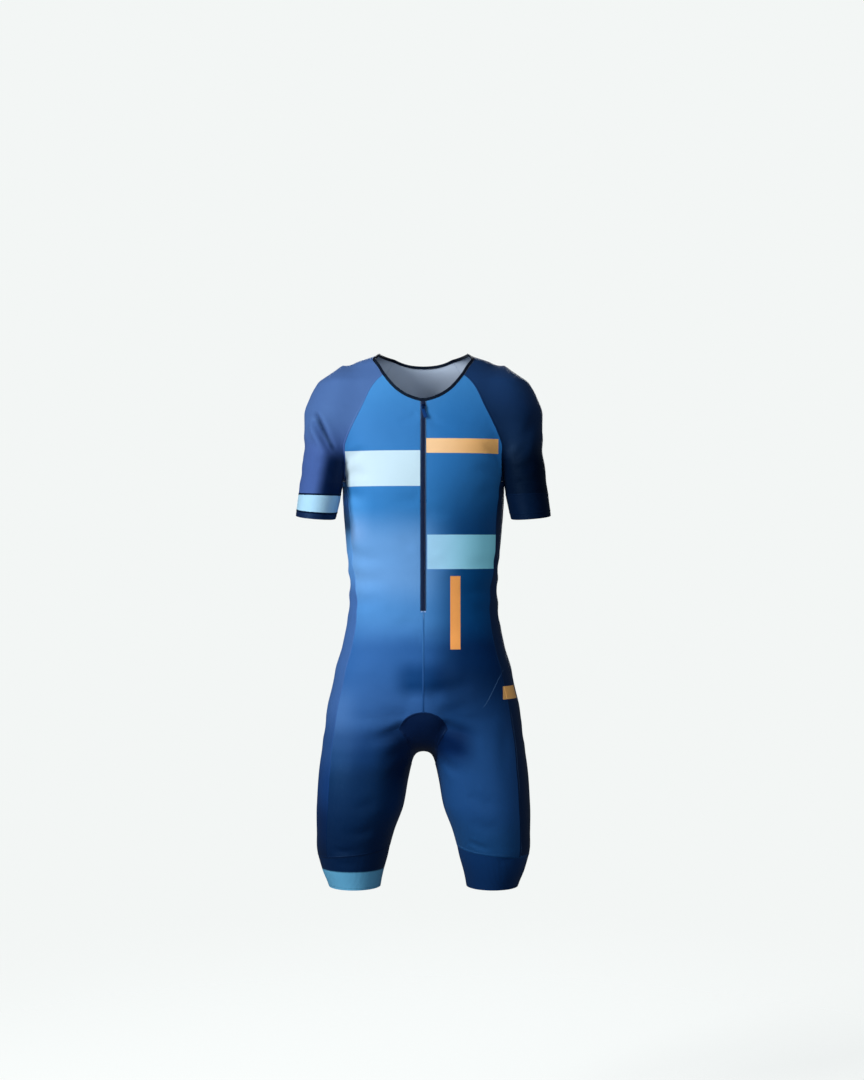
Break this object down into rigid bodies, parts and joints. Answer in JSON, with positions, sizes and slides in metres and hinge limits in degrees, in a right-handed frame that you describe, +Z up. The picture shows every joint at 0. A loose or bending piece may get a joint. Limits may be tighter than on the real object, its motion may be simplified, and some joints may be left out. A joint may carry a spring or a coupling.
{
  "type": "triathlon suit",
  "caption": "Short-sleeved, short-legged triathlon suit with raglan sleeves and a front zip, hollow and filled out as if worn, open at neck, sleeves and legs.",
  "frame": {"origin": "where the wearer's nape carries the suit: the inner face of the back, 3 mm under the neck binding, on the middle plane", "axes": "+Z up along the standing wearer, -Y out of the chest, +X to the wearer's left"},
  "size_m": [0.4572, 0.2418, 0.9668],
  "materials": {
    "blue_knit": "matt knit with a soft sheen",
    "navy_knit": "matt knit with a soft sheen",
    "deep_navy_knit": "matt knit with a soft sheen",
    "light_blue_knit": "matt knit with a soft sheen",
    "navy_elastic": "matt knit with a soft sheen",
    "light_blue_elastic": "matt knit with a soft sheen",
    "black_binding": "matt knit with a soft sheen",
    "zip_tape": "matt knit with a soft sheen",
    "slider_metal": "satin enamel",
    "pull_plastic": "satin"
  },
  "bodies": {
    "suit": {"front_right": "blue_knit", "front_left": "blue_knit", "back": "blue_knit", "seat_right": "navy_knit", "seat_left": "navy_knit", "side_right": "deep_navy_knit", "side_left": "deep_navy_knit", "sleeve_right": "navy_knit", "sleeve_left": "navy_knit", "sleeve_band_right": "light_blue_knit", "sleeve_band_left": "navy_knit", "sleeve_hem_right": "deep_navy_knit", "sleeve_hem_left": "deep_navy_knit", "leg_band_right": "light_blue_elastic", "leg_band_left": "navy_elastic", "crotch_gusset": "deep_navy_knit", "neck_binding": "black_binding", "zip_tape_right": "zip_tape", "zip_tape_left": "zip_tape", "zip_slider": "slider_metal"},
    "pull_tab": {"zip_pull": "pull_plastic"}
  },
  "joints": [
    {"name": "pull_swing", "type": "hinge", "parent": "suit", "child": "pull_tab", "pos_m": [0, -0.16582, -0.07328], "axis": [-1, 0, 0], "range_deg": [0, 150]}
  ]
}
